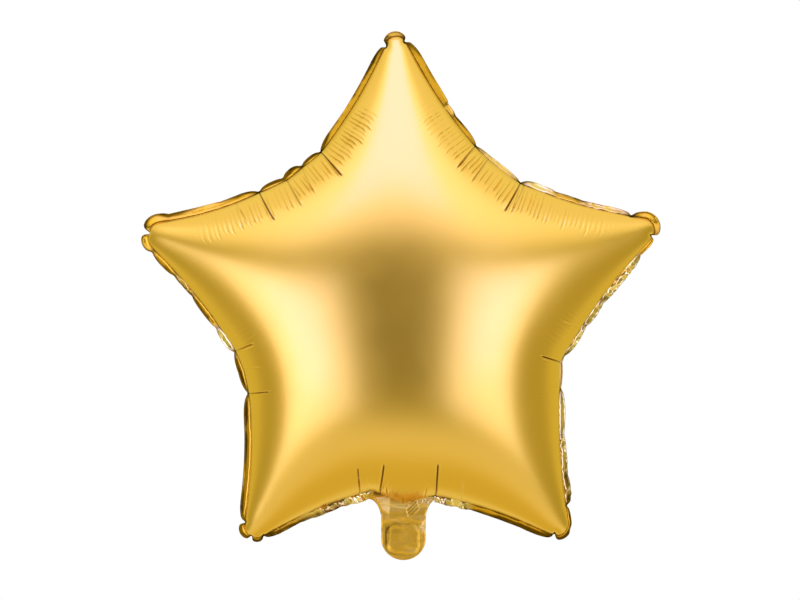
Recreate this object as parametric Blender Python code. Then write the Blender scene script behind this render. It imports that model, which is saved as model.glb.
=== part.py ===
"""Star foil balloon, blown up and sealed.

Two star-shaped films are welded round their edge, with a filling tail at the bottom. The bag is sealed and
can't be seen into, so it is one closed body. The star stands upright in the XZ plane, its front towards -Y,
and the origin is where a ribbon ties round the tail, just above the valve. The mesh is drawn round the
star's centre. Bearings are in degrees clockwise from the top, seen from the front.
"""

import math

import bmesh
import bpy
import numpy as np

# The star, in metres
TIP_REACH = 0.2365
VALLEY_REACH = 0.150
TIP_RADIUS = 0.0115
SIDE_HOLLOW = 0.0035
HALF_DEPTH = 0.080

# Each tip's bearing, its share of TIP_REACH, and how far past the tip its border is pinched
TIPS = (
    (-1.5, 1.0, 0.008),
    (72.1, 0.972, 0.010),
    (144.5, 1.028, 0.015),
    (213.9, 1.006, -0.005),
    (285.4, 0.977, 0.003),
)

# Each valley's two knees and the point between them, clockwise, as a bearing and a share of VALLEY_REACH
VALLEYS = (
    ((24.3, 1.030), (30.0, 1.000), (43.3, 0.997)),
    ((104.0, 0.985), (108.5, 0.966), (113.0, 0.994)),
    ((170.0, 1.095), (179.7, 1.128), (189.4, 1.063)),
    ((241.2, 1.011), (248.5, 0.985), (255.8, 0.992)),
    ((309.2, 1.063), (318.3, 1.000), (332.6, 1.018)),
)
TAIL_VALLEY = 2

# The welded border. It folds back by FOLD_MOST degrees where it is pinched and by FOLD_LEAST between those
# places; the smaller FOLD_OPENING is, the sooner it opens.
BORDER_WIDTH = 0.0075
BORDER_THICKNESS = 0.0010
FOLD_LEAST = 36.0
FOLD_MOST = 78.0
FOLD_CRINKLE = 4.0
FOLD_OPENING = 0.6

# The filling tail. The larger TAIL_FLARE_POWER is, the shorter the flare at its root.
TAIL_LENGTH = 0.0490
TAIL_WIDTH = 0.0410
TAIL_SHIFT = 0.0013
TAIL_FLARE_POWER = 4.0
TAIL_WAVE = 0.0012
VALVE_WIDTH = 0.0310
VALVE_TOP = 0.0170
VALVE_BOTTOM = 0.0440
VALVE_RISE = 0.0006

# The gathers that the pressure pulls into the films. A crease is a valley, a place along the edge and a
# length: place 0 is the valley's middle, -1 and 1 are its knees, and the rest lie as far past them.
CREASES = (
    (0, -1.0, 0.026),
    (0, 0.0, 0.026),
    (0, 1.0, 0.032),
    (1, 0.0, 0.024),
    (2, -1.5, 0.016),
    (2, -1.0, 0.036),
    (2, 1.0, 0.030),
    (2, 1.5, 0.022),
    (3, -1.0, 0.024),
    (3, 0.0, 0.016),
    (3, 1.0, 0.022),
    (4, -1.0, 0.031),
    (4, 0.0, 0.030),
    (4, 1.0, 0.032),
)
CREASE_DEPTH = 0.0050
CREASE_LIP = 0.0010
PLEAT_DEPTH = 0.0014
PLEAT_START = 0.003
PLEAT_LENGTH = 0.030
TIP_DENT = 0.0025
TIP_CREASE_DEPTH = 0.0012
TIP_CREASE_LENGTH = 0.012

# How finely the films are divided, from a valley's middle to a tip. The columns draw together by
# COLUMN_EASE at both ends of a stretch of edge, and the rows draw together at the edge by ROW_POWER.
KNEE_COLUMNS = 4
SIDE_COLUMNS = 15
TIP_COLUMNS = 3
COLUMNS = KNEE_COLUMNS + SIDE_COLUMNS + TIP_COLUMNS
COLUMN_EASE = 0.6
ROW_POWER = 1.3
ROUND = 2 * len(TIPS) * COLUMNS
TAIL_ROWS = 8
WELD_DISTANCE = 0.00001
SHARP_ANGLE = 50.0

FOIL_COLOUR = (0.80, 0.52, 0.13, 1.0)
FOIL_ROUGHNESS = 0.36


def polar(bearing, reach):
    """The point at a bearing and a distance from the star's centre, as X and Z."""
    angle = math.radians(bearing)
    return np.array([reach * math.sin(angle), reach * math.cos(angle)])


def eased(share):
    """A share along a stretch of edge, with the columns drawn together at both its ends."""
    return share + COLUMN_EASE * (3 * share**2 - 2 * share**3 - share)


def side(arm, turn):
    """The film's edge from a valley's middle to an arm's tip: turn is 1 on the way up to it, -1 past it."""
    bearing, share, _ = TIPS[arm]
    knees = VALLEYS[arm - 1] if turn == 1 else VALLEYS[arm]
    knee = polar(knees[1 + turn][0], knees[1 + turn][1] * VALLEY_REACH)
    middle = polar(knees[1][0], knees[1][1] * VALLEY_REACH)
    centre = polar(bearing, TIP_REACH * share - TIP_RADIUS)
    outward = polar(bearing - 90 * turn, 1.0)
    back = knee - centre
    far = np.linalg.norm(back)
    cosine = TIP_RADIUS / far
    to_knee = back / far
    across = outward - to_knee * float(outward @ to_knee)
    across /= np.linalg.norm(across)
    shoulder = centre + TIP_RADIUS * (cosine * to_knee + math.sqrt(1 - cosine**2) * across)

    points = [middle + (knee - middle) * eased(i / KNEE_COLUMNS) for i in range(KNEE_COLUMNS)]
    for i in range(SIDE_COLUMNS):
        along = eased(i / SIDE_COLUMNS)
        hollow = SIDE_HOLLOW * math.sin(math.pi * along)
        points.append(knee + (shoulder - knee) * along - across * hollow)
    start = math.atan2(*(shoulder - centre))
    sweep = (math.radians(bearing) - start + math.pi) % (2 * math.pi) - math.pi
    for i in range(TIP_COLUMNS + 1):
        angle = math.degrees(start + sweep * i / TIP_COLUMNS)
        points.append(centre + polar(angle, TIP_RADIUS))
    return np.array(points)


def outline():
    """The film's edge, clockwise from the valley before the first tip: one point for each column."""
    parts = []
    for arm in range(len(TIPS)):
        parts.append(side(arm, 1)[:-1])
        parts.append(side(arm, -1)[:0:-1])
    return np.concatenate(parts)


def column_at(points, column, distance):
    """The column that lies nearest to a distance along the edge from another one."""
    step = 1 if distance > 0 else -1
    length = 0.0
    while length < abs(distance):
        length += np.linalg.norm(points[(column + step) % ROUND] - points[column % ROUND])
        column += step
    return column % ROUND


def valley_column(valley, place=0.0):
    return (2 * (valley + 1) * COLUMNS + round(place * KNEE_COLUMNS)) % ROUND


class Edge:
    """The films' welded edge: for each column its place, and how the foil is gathered and folded there."""

    def __init__(self):
        self.smooth = outline()
        self.creases = [(valley_column(valley, place), length) for valley, place, length in CREASES]
        self.tips = [(2 * arm + 1) * COLUMNS for arm in range(len(TIPS))]
        self.pinches = [column_at(self.smooth, tip, past) for tip, (_, _, past) in zip(self.tips, TIPS)]
        self.dents = self.tip_dents()
        self.points = self.smooth + self.dents
        self.outward = self.away_from_film()
        self.fold = self.fold_angles()
        self.depth, self.length, self.pleat = self.gathers()
        self.tail = range(valley_column(TAIL_VALLEY, -1), valley_column(TAIL_VALLEY, 1) + 1)
        self.root = self.points[valley_column(TAIL_VALLEY)]

    def tip_dents(self):
        """How the edge is pulled in where a tip is pinched."""
        dents = np.zeros((ROUND, 2))
        for column, (bearing, _, _) in zip(self.pinches, TIPS):
            dents[column] = -polar(bearing, TIP_DENT)
        return dents

    def away_from_film(self):
        """The direction away from the film, in the star's plane."""
        travel = np.roll(self.smooth, -1, axis=0) - np.roll(self.smooth, 1, axis=0)
        normal = np.stack([-travel[:, 1], travel[:, 0]], axis=1)
        return normal / np.linalg.norm(normal, axis=1, keepdims=True)

    def fold_angles(self):
        """How far the border folds back: most where it is pinched, and not at all beside the tail."""
        fold = np.zeros(ROUND)
        pinched = sorted({column for column, _ in self.creases} | set(self.pinches))
        for start, end in zip(pinched, pinched[1:] + [pinched[0] + ROUND]):
            for column in range(start, end):
                open_share = math.sin(math.pi * (column - start) / (end - start)) ** FOLD_OPENING
                crinkle = FOLD_CRINKLE * open_share * (-1) ** column
                fold[column % ROUND] = FOLD_MOST + (FOLD_LEAST - FOLD_MOST) * open_share + crinkle
        fold[valley_column(TAIL_VALLEY, -1) : valley_column(TAIL_VALLEY, 1) + 1] = 0.0
        return np.radians(fold)

    def gathers(self):
        """The depth and length of each column's crease, and the depth of its pleat."""
        depth, length, pleat = np.zeros(ROUND), np.full(ROUND, PLEAT_LENGTH), np.zeros(ROUND)
        pleat[::2] = PLEAT_DEPTH
        pleat[1::2] = -PLEAT_DEPTH
        for column, reach in self.creases:
            beside = [(column - 1) % ROUND, (column + 1) % ROUND]
            depth[column], depth[beside] = CREASE_DEPTH, -CREASE_LIP
            length[column], length[beside] = reach, reach
            pleat[column], pleat[beside] = 0.0, 0.0
        for tip, pinch in zip(self.tips, self.pinches):
            pleat[tip - TIP_COLUMNS - 1 : tip + TIP_COLUMNS + 2] = 0.0
            depth[pinch], length[pinch] = TIP_CREASE_DEPTH, TIP_CREASE_LENGTH
        return depth, length, pleat

    def border(self, column, fold=0.0, side=0):
        """A point on the border's outer line, as X, Y and Z: side is -1 on its front, 1 on its back."""
        across, up = math.cos(fold), math.sin(fold)
        reach = BORDER_WIDTH * across - side * BORDER_THICKNESS / 2 * up
        x, z = self.smooth[column] + self.dents[column] + self.outward[column] * reach
        return x, BORDER_WIDTH * up + side * BORDER_THICKNESS / 2 * across, z


def patch(arm, edge):
    """The film's points between the centre, a valley, a tip and the next valley, in rows along the edge."""
    first = 2 * arm * COLUMNS
    up = edge.points[np.arange(first, first + COLUMNS + 1) % ROUND]
    down = edge.points[np.arange(first + 2 * COLUMNS, first + COLUMNS - 1, -1) % ROUND]
    tip = up[-1]
    share = 1 - (1 - np.arange(COLUMNS + 1) / COLUMNS) ** ROW_POWER
    a, b = np.meshgrid(share, share, indexing="ij")
    a, b = a[..., None], b[..., None]
    to_first, to_next = up[0] * a, down[0] * b
    ruled = to_next * (1 - a) + up[None, :, :] * a + to_first * (1 - b) + down[:, None, :] * b
    return ruled - (up[0] * a * (1 - b) + down[0] * (1 - a) * b + tip * a * b)


def add_patch(sheet, arm, edge):
    """Adds one arm's flat film, and notes on each vertex its column and how far it lies from the edge."""
    points = patch(arm, edge)
    column, inside = sheet.verts.layers.int["column"], sheet.verts.layers.float["inside"]
    made = bmesh.ops.create_grid(sheet, x_segments=COLUMNS, y_segments=COLUMNS, size=0.5)
    for vert in made["verts"]:
        i, j = (round((vert.co[axis] + 0.5) * COLUMNS) for axis in (0, 1))
        x, z = points[i, j]
        vert[column] = (2 * arm * COLUMNS + (j if i >= j else 2 * COLUMNS - i)) % ROUND
        near = points[COLUMNS, j] if i >= j else points[i, COLUMNS]
        vert[inside] = math.hypot(x - near[0], z - near[1])
        vert.co = (x, 0.0, z)


def inflate(sheet):
    """How far each vertex of the flat films bulges: the square root of a stretched membrane's height."""
    sheet.verts.index_update()
    points = np.array([(vert.co.x, vert.co.z) for vert in sheet.verts])
    count = len(points)
    stiffness = np.zeros((count, count))
    load = np.zeros(count)
    for face in sheet.faces:
        a, b, c, d = (vert.index for vert in face.verts)
        for corners in ((a, b, c), (a, c, d)):
            p = points[list(corners)]
            opposite = np.array([p[2] - p[1], p[0] - p[2], p[1] - p[0]])
            area = abs(np.cross(opposite[0], opposite[1])) / 2
            stiffness[np.ix_(corners, corners)] += opposite @ opposite.T / (4 * area)
            load[list(corners)] += area / 3
    free = np.array([vert.index for vert in sheet.verts if not vert.is_boundary])
    height = np.zeros(count)
    height[free] = np.linalg.solve(stiffness[np.ix_(free, free)], load[free])
    return HALF_DEPTH * np.sqrt(np.clip(height, 0, None) / height.max())


def tail_point(edge, column, row):
    """A point of the tail, as X and Z: it runs from the border, through the flare, to the round end."""
    middle = valley_column(TAIL_VALLEY)
    share = math.sin(math.pi / 2 * (middle - column) / KNEE_COLUMNS)
    half = TAIL_WIDTH / 2
    end = (TAIL_SHIFT + share * half, edge.root[1] - TAIL_LENGTH + half * (1 - math.sqrt(1 - share**2)))
    start = edge.border(column)
    down = row / TAIL_ROWS
    x = end[0] + (start[0] - end[0]) * (1 - down) ** TAIL_FLARE_POWER
    return x, start[2] + (end[1] - start[2]) * down


def new_verts(made):
    return [item for item in made["geom"] if isinstance(item, bmesh.types.BMVert)]


def add_border(sheet, edge):
    """Adds the flat border round the films, one row wide, and the tail below it."""
    column, row = sheet.verts.layers.int["column"], sheet.verts.layers.int["row"]
    rim = [line for line in sheet.edges if line.is_boundary]
    for vert in new_verts(bmesh.ops.extrude_edge_only(sheet, edges=rim)):
        x, _, z = edge.border(vert[column])
        vert.co = (x, 0.0, z)
        vert[row] = 1
    for step in range(1, TAIL_ROWS + 1):
        root = [
            line
            for line in sheet.edges
            if line.is_boundary and all(v[row] == step and v[column] in edge.tail for v in line.verts)
        ]
        for vert in new_verts(bmesh.ops.extrude_edge_only(sheet, edges=root)):
            x, z = tail_point(edge, vert[column], step)
            vert.co = (x, 0.0, z)
            vert[row] = step + 1


def blow_up(sheet, bulge):
    """Gives the doubled films their depth: the front one towards -Y, the back one towards +Y."""
    layers = sheet.verts.layers
    for vert in sheet.verts:
        way = 1 if vert[layers.int["back"]] else -1
        depth = bulge[vert[layers.int["bulge"]]] if vert[layers.int["row"]] == 0 else 0.0
        vert.co.y = way * (depth + BORDER_THICKNESS / 2)


def gather(sheet, edge):
    """Presses the creases and pleats into the films, square to their surface."""
    layers = sheet.verts.layers
    column, inside = layers.int["column"], layers.float["inside"]
    sheet.normal_update()
    moves = []
    for vert in sheet.verts:
        if vert[layers.int["row"]] > 0 or vert[inside] == 0:
            continue
        at = vert[column]
        dip = edge.depth[at] * max(0.0, 1 - vert[inside] / edge.length[at])
        along = (vert[inside] - PLEAT_START) / PLEAT_LENGTH
        if 0 < along < 1:
            dip += edge.pleat[at] * math.sin(math.pi * along)
        moves.append((vert, vert.normal * -dip))
    for vert, move in moves:
        vert.co += move


def fold_border(sheet, edge):
    layers = sheet.verts.layers
    for vert in (v for v in sheet.verts if v[layers.int["row"]] == 1):
        column = vert[layers.int["column"]]
        vert.co = edge.border(column, edge.fold[column], 1 if vert[layers.int["back"]] else -1)


def shape_tail(sheet, edge):
    """Waves the root of the tail, and raises the valve that shows through its front."""
    layers = sheet.verts.layers
    for vert in (v for v in sheet.verts if v[layers.int["row"]] > 1):
        down = edge.root[1] - vert.co.z
        across = abs(vert.co.x - TAIL_SHIFT)
        if not vert[layers.int["back"]] and across < VALVE_WIDTH / 2 and VALVE_TOP < down < VALVE_BOTTOM:
            vert.co.y -= VALVE_RISE
        if down < VALVE_TOP:
            vert.co.y += TAIL_WAVE * math.sin(math.pi * down / VALVE_TOP)


def crisp(sheet):
    """Shades the films smooth, with a hard line at the weld and at each sharp turn."""
    row, inside = sheet.verts.layers.int["row"], sheet.verts.layers.float["inside"]
    for face in sheet.faces:
        face.smooth = True
    for edge in sheet.edges:
        on_weld = all(vert[row] == 0 and vert[inside] == 0 for vert in edge.verts)
        edge.smooth = not on_weld and edge.calc_face_angle(0.0) < math.radians(SHARP_ANGLE)


def balloon_mesh(edge):
    sheet = bmesh.new()
    for name in ("column", "row", "bulge", "back"):
        sheet.verts.layers.int.new(name)
    sheet.verts.layers.float.new("inside")
    for arm in range(len(TIPS)):
        add_patch(sheet, arm, edge)
    bmesh.ops.remove_doubles(sheet, verts=sheet.verts, dist=WELD_DISTANCE)
    bulge = inflate(sheet)
    for vert in sheet.verts:
        vert[sheet.verts.layers.int["bulge"]] = vert.index
    add_border(sheet, edge)
    made = bmesh.ops.extrude_face_region(sheet, geom=sheet.faces[:], use_keep_orig=True)
    for vert in new_verts(made):
        vert[sheet.verts.layers.int["back"]] = 1
    blow_up(sheet, bulge)
    bmesh.ops.recalc_face_normals(sheet, faces=sheet.faces)
    gather(sheet, edge)
    fold_border(sheet, edge)
    shape_tail(sheet, edge)
    crisp(sheet)
    mesh = bpy.data.meshes.new("star_balloon")
    sheet.to_mesh(mesh)
    sheet.free()
    return mesh


def foil_material():
    material = bpy.data.materials.new("gold_foil")
    material.use_nodes = True
    shader = material.node_tree.nodes["Principled BSDF"]
    shader.inputs["Base Color"].default_value = FOIL_COLOUR
    shader.inputs["Metallic"].default_value = 1.0
    shader.inputs["Roughness"].default_value = FOIL_ROUGHNESS
    return material


def clear_scene():
    for obj in list(bpy.data.objects):
        bpy.data.objects.remove(obj, do_unlink=True)


def build():
    clear_scene()
    collection = bpy.data.collections.new("star_foil_balloon")
    bpy.context.scene.collection.children.link(collection)
    edge = Edge()
    balloon = bpy.data.objects.new("star_balloon", balloon_mesh(edge))
    balloon.location = (-TAIL_SHIFT, 0.0, VALVE_TOP - edge.root[1])
    balloon.data.materials.append(foil_material())
    collection.objects.link(balloon)


build()
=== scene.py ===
"""Star foil balloon: the looks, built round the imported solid.

Two films of satin gold foil are blown up into a star. Each is a flat star sheet whose bulge follows a
stretched membrane, with creases at the valleys and fine pleats along the seam. A crinkled border runs round
them, and a flat filling tail with its valve hangs below. Bearings are in degrees clockwise from the top, seen
from the front.
"""

import functools
import math

import bmesh
import bpy
import numpy as np
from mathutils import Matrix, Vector, noise


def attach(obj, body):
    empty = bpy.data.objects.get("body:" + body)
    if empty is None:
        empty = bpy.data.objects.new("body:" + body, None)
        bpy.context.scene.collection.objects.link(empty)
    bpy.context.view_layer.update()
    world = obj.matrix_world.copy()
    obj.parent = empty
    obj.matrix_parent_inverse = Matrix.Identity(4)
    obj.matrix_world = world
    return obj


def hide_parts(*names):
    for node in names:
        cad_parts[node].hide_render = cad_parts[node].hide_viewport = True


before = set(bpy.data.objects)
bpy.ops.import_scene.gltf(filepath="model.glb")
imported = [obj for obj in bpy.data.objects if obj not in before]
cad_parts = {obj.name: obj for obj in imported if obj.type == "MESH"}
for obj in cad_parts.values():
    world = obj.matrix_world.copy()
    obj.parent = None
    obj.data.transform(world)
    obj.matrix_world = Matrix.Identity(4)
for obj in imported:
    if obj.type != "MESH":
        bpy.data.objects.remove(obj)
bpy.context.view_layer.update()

bl_info = {
    "name": "Star foil balloon",
    "version": (1, 0, 0),
    "blender": (4, 5, 0),
    "location": "3D View > Sidebar > Balloon",
    "description": "Models a blown-up star of gold foil and its studio",
    "category": "Add Mesh",
}

NODE = "star_balloon"
BODY = "root"

# Each tip's bearing, its share of the tips' reach, and the radius of its round end
TIPS = (
    (-1.2, 1.0, 0.0095),
    (72.0, 0.974, 0.0110),
    (144.2, 1.016, 0.0110),
    (213.9, 1.004, 0.0110),
    (286.7, 0.974, 0.0130),
)
# Each valley's two knees with the point between them, clockwise: a bearing and a share of the valleys' reach
VALLEYS = (
    ((24.3, 1.030), (30.0, 1.000), (43.3, 0.997)),
    ((104.0, 0.985), (108.5, 0.966), (113.0, 0.994)),
    ((170.0, 1.095), (179.7, 1.128), (189.4, 1.063)),
    ((241.2, 1.011), (248.5, 0.985), (255.8, 0.992)),
    ((309.2, 1.063), (318.3, 1.000), (332.6, 1.018)),
)
TAIL_VALLEY = 2
# Notches in the film's edge: a bearing, a depth and a half width
NOTCHES = (
    (-3.6, 0.0030, 0.0016),
    (0.7, 0.0022, 0.0014),
    (68.0, 0.0012, 0.0016),
    (73.9, 0.0034, 0.0016),
    (140.0, 0.0012, 0.0014),
    (146.1, 0.0030, 0.0016),
    (211.4, 0.0012, 0.0014),
    (213.5, 0.0026, 0.0013),
    (216.5, 0.0026, 0.0016),
    (286.7, 0.0048, 0.0018),
)
# Creases run in from the seam: a bearing there, the inner end's bearing and distance from the centre, and a
# share of the depth
CREASES = (
    (24.3, 21.5, 0.1293, 0.8),
    (30.0, 28.9, 0.1241, 0.6),
    (43.3, 46.5, 0.1199, 1.0),
    (44.6, 48.7, 0.1238, 0.5),
    (96.2, 94.7, 0.1378, 0.1),
    (108.5, 108.6, 0.1252, 0.9),
    (118.0, 122.6, 0.1340, 0.12),
    (163.0, 160.5, 0.1550, 0.3),
    (169.8, 166.9, 0.1347, 1.0),
    (173.4, 172.2, 0.1540, 0.25),
    (179.7, 179.6, 0.1640, 0.8),
    (184.2, 184.8, 0.1530, 0.25),
    (186.8, 186.6, 0.1325, 1.0),
    (192.6, 195.6, 0.1398, 0.8),
    (241.2, 238.1, 0.1331, 0.8),
    (249.1, 247.6, 0.1297, 0.2),
    (255.8, 256.9, 0.1303, 0.7),
    (302.6, 299.6, 0.1520, 0.3),
    (309.2, 304.8, 0.1323, 1.0),
    (318.3, 315.6, 0.1229, 0.6),
    (324.6, 322.7, 0.1234, 0.4),
    (332.6, 335.8, 0.1229, 1.0),
)
# How strongly pleats gather the film: a bearing and a share of the depth
PLEATS = (
    (8.0, 0.0), (14.0, 0.55), (24.0, 0.7), (30.0, 0.9), (43.0, 1.0), (54.0, 0.75), (60.0, 0.45),
    (65.0, 0.1), (67.0, 0.0), (86.0, 0.0), (96.0, 0.08), (112.0, 0.14), (130.0, 0.1), (134.0, 0.0),
    (158.0, 0.0), (165.0, 0.12), (190.0, 0.25), (197.0, 0.2), (201.0, 0.0), (240.0, 0.0), (256.0, 0.1),
    (270.0, 0.0), (293.0, 0.0), (299.0, 0.45), (306.0, 0.8), (320.0, 1.0), (344.0, 1.0), (348.0, 0.0),
)
# The border's folds, clockwise: the bearing where each begins, how far it is pinched there, its share of the
# border's width, its fold angle in degrees, and shares of crinkling and of painted light
FOLDS = (
    (-3.6, 1.0, 0.70, 10.0, 0.0, 0.1),
    (0.7, 1.0, 1.08, 42.0, 0.0, 0.0),
    (11.5, 0.25, 0.85, 48.0, 0.4, 0.2),
    (14.6, 0.4, 0.78, 50.0, 0.1, 0.0),
    (24.3, 0.9, 0.66, 52.0, 0.2, 0.5),
    (43.3, 1.0, 0.98, 44.0, 0.2, 0.7),
    (53.0, 0.2, 0.85, 50.0, 0.3, 0.1),
    (60.0, 0.3, 0.82, 48.0, 0.4, 0.4),
    (68.0, 0.9, 0.95, 22.0, 0.0, 0.0),
    (73.9, 1.0, 0.52, 40.0, 0.1, 0.0),
    (77.0, 0.5, 1.00, 38.0, 1.0, 0.8),
    (87.5, 0.5, 0.90, 40.0, 1.0, 0.8),
    (94.7, 0.6, 0.80, 42.0, 0.7, 0.9),
    (106.0, 1.0, 0.40, 40.0, 0.1, 0.3),
    (117.0, 0.8, 0.86, 42.0, 0.3, 1.0),
    (128.6, 0.4, 0.90, 42.0, 0.6, 0.8),
    (136.2, 0.3, 0.98, 42.0, 0.8, 0.6),
    (140.0, 0.9, 0.38, 34.0, 0.1, 0.0),
    (143.2, 0.3, 0.66, 36.0, 0.1, 0.0),
    (146.1, 1.0, 0.92, 40.0, 0.3, 0.0),
    (160.6, 0.2, 1.05, 32.0, 1.0, 0.9),
    (170.5, 0.3, 0.40, 34.0, 0.4, 0.8),
    (188.5, 0.3, 1.15, 30.0, 0.9, 0.9),
    (197.7, 0.3, 1.08, 34.0, 1.0, 0.6),
    (206.2, 0.2, 0.90, 46.0, 0.5, 0.1),
    (211.4, 1.0, 0.52, 24.0, 0.0, 0.0),
    (213.5, 1.0, 0.74, 26.0, 0.0, 0.0),
    (216.5, 1.0, 0.95, 46.0, 0.1, 0.0),
    (241.2, 1.0, 0.84, 46.0, 0.1, 0.0),
    (255.8, 0.9, 0.92, 44.0, 0.2, 1.0),
    (264.5, 0.6, 0.85, 46.0, 0.1, 0.0),
    (274.0, 0.5, 0.70, 48.0, 0.8, 0.3),
    (279.1, 0.5, 0.85, 44.0, 0.1, 0.0),
    (283.4, 0.7, 0.85, 26.0, 0.0, 0.0),
    (286.7, 1.0, 1.15, 26.0, 0.0, 0.0),
    (290.6, 0.2, 1.05, 40.0, 0.1, 0.0),
    (298.9, 0.1, 0.98, 44.0, 0.1, 0.0),
    (309.2, 1.0, 0.80, 48.0, 0.1, 0.0),
    (318.0, 0.6, 1.05, 42.0, 0.1, 0.0),
    (324.8, 0.9, 0.72, 50.0, 0.1, 0.0),
    (332.6, 1.0, 0.90, 46.0, 0.05, 0.0),
    (344.4, 0.1, 0.90, 48.0, 0.05, 0.0),
)
# How much of the border's outer rim is painted with shade, by bearing
PAINTED_RIM_SHADE = (
    (0.0, 0.25), (2.0, 0.6), (7.0, 0.2), (12.0, 0.2), (16.0, 0.6), (24.0, 0.2), (41.0, 0.3),
    (44.0, 0.5), (50.0, 0.2), (56.0, 0.5), (60.0, 0.7), (64.0, 0.2), (76.0, 0.3), (84.0, 0.3),
    (130.0, 0.3), (139.0, 1.0), (152.0, 1.0), (160.0, 0.4), (172.0, 0.3), (190.0, 0.3), (200.0, 0.5),
    (208.0, 1.0), (217.0, 1.0), (222.0, 0.5), (240.0, 1.0), (255.0, 0.9), (258.0, 0.2), (264.0, 0.3),
    (274.0, 0.8), (284.0, 0.6), (290.0, 0.7), (297.0, 0.2), (309.0, 1.0), (333.0, 1.0), (340.0, 0.6),
    (345.0, 0.2), (354.0, 0.7), (357.0, 0.2),
)

# The studio's soft boxes: azimuth and elevation in degrees, distance, width and height, level and tint
LAMPS = (
    ("left_softbox", -40.5, -11.0, 2.1, (1.62, 1.76), "side_level", (0.89, 1.0, 1.45)),
    ("left_softbox_middle", -39.0, -9.0, 2.0, (0.72, 0.98), "middle_level", (0.55, 0.75, 10.5)),
    ("right_softbox", 34.5, -8.0, 2.1, (1.34, 1.85), "side_level", (0.89, 1.0, 1.45)),
    ("right_softbox_middle", 34.5, -3.0, 2.0, (0.64, 0.95), "middle_level", (0.60, 0.85, 10.5)),
    ("top_softbox", -3.0, 52.0, 2.3, (3.70, 2.20), "top_level", (0.93, 1.0, 1.6)),
    ("top_softbox_middle", -5.0, 58.0, 2.2, (1.90, 1.50), "top_middle_level", (0.55, 0.6, 21.0)),
)
# The room's light, front first: an axis, where along it a part begins and is full, its level and its tint
ROOM_FRONT_TINT = (1.0, 0.97, 0.20)
ROOM = (
    ("Y", -0.95, -0.45, "side", (0.97, 0.97, 0.29)),
    ("Y", 0.0, 0.5, "back", (0.96, 0.97, 0.32)),
    ("Z", 0.30, 0.60, "above", (0.94, 0.99, 0.70)),
    ("Z", -0.45, -0.70, "floor", (0.96, 0.98, 0.65)),
    ("Z", -0.75, -0.97, "below", (1.0, 0.94, 0.26)),
)
STAR_CENTRE = (-0.0013, 0.0, 0.1862)
CAMERA_PLACE = (-0.0030, -1.931, 0.1940)
CAMERA_LENS = 100
FLOOR_RADIUS = 2.4
FLOOR_HEIGHT = -0.5

# How finely the films are divided, from a valley's middle to a tip, and how much finer along the seam
KNEE_COLUMNS = 12
SIDE_COLUMNS = 58
TIP_COLUMNS = 12
COLUMNS = KNEE_COLUMNS + SIDE_COLUMNS + TIP_COLUMNS
ROUND = 2 * len(TIPS) * COLUMNS
GATHER_ROWS = 20
GATHER_CUTS = 5
BORDER_COLUMNS = 3600
BORDER_ROWS = 10
TAIL_COLUMNS = 130
TAIL_ROWS = 170
GRID_PLACE = ("arm", "row", "column")
WELD_DISTANCE = 0.00001
# The rows draw together at the seam and the columns at the knees, where the gathers are
ROW_POWER = 1.1
COLUMN_POWER = 1.1
# The corner block of a patch that is evened out at a tip, and how many times
TIP_BLOCK = 28
TIP_SMOOTHING = 60
# The nearest place on the seam is sought among every tenth point first, in parts that fit in memory
SEARCH_STEP = 10
SEARCH_PARTS = 40
# How small the membrane solution's remainder gets, as a share of the first
SOLVED = 1e-12
# The seam's rise and fall, the steps of its waves and how far in from it the film follows
SEAM_RISE = 0.0003
SEAM_WAVE = 0.030
SEAM_FADE = 0.004
# The space from one pleat to the next, and how far from the seam the pleats and creases begin to press
PLEAT_SPACES = (0.0028, 0.0050)
PRESS_START = 0.0012
# How much shade is painted along the pleats and creases, and how far in from the seam the film's edge is
# painted lighter
PAINTED_PLEAT_SHADE = 0.07
PAINTED_CREASE_SHADE = 0.95
EDGE_PAINTED_LIGHT = 0.0016
# The film is painted paler over this width and height, centred this far above the bottom valley, as a painted
# reflection of the tail
PAINTED_TAIL_REFLECTION = (0.016, 0.008)
PAINTED_TAIL_REFLECTION_RISE = (0.0, 0.003)
# How far the border reaches in under the film, and how much of its width is left at a full pinch
BORDER_LAP = 0.0008
PINCHED_WIDTH = 0.08
# The longest stretch over which a pinch opens out
PINCH_RAMP = 0.020
# Over how many places on each side the border's folds are smoothed, one number for each of their values
FOLD_SMOOTHING = (4, 4, 4, 9, 2)
# The steps of the border's crinkles, of its gentle waves, of its painted dark specks and of the changes in
# its rim's painted shade
CRINKLE_STEPS = (0.0034, 0.0055)
GENTLE_STEP = 0.018
SHADE_SPECK_STEP = 0.0045
RIM_STEP = 0.012
# Where the tail begins, inside the star
TAIL_TOP = -0.0130
# The corners of the tail's folded facet and ribbed plate, and the middle, reach and size of its crumpled
# spots: to the right of the tail's middle and below the bottom valley
FACET = ((-0.0255, -0.0065), (-0.0104, -0.0072), (-0.0130, 0.0092), (-0.0185, 0.0060))
RIBBED = ((0.0022, 0.0035), (0.0109, -0.0052), (0.0140, 0.0052), (0.0042, 0.0125))
RIB_SPACE = 0.0024
CRUMPLES = ((0.0215, -0.0055, 1.6, 0.0075), (0.0180, 0.0200, 1.4, 0.0050))
VALVE_CORNER = 0.0095


def length(name, default, text):
    return bpy.props.FloatProperty(name=name, description=text, default=default, unit="LENGTH", precision=4)


def degrees(name, default, text):
    return bpy.props.FloatProperty(
        name=name, description=text, default=math.radians(default), subtype="ANGLE"
    )


def factor(name, default, text, top=1.0):
    return bpy.props.FloatProperty(
        name=name, description=text, default=default, min=0.0, max=top, subtype="FACTOR"
    )


def colour(name, default, text):
    return bpy.props.FloatVectorProperty(
        name=name, description=text, default=default, size=3, min=0.0, max=1.0, subtype="COLOR"
    )


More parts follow.
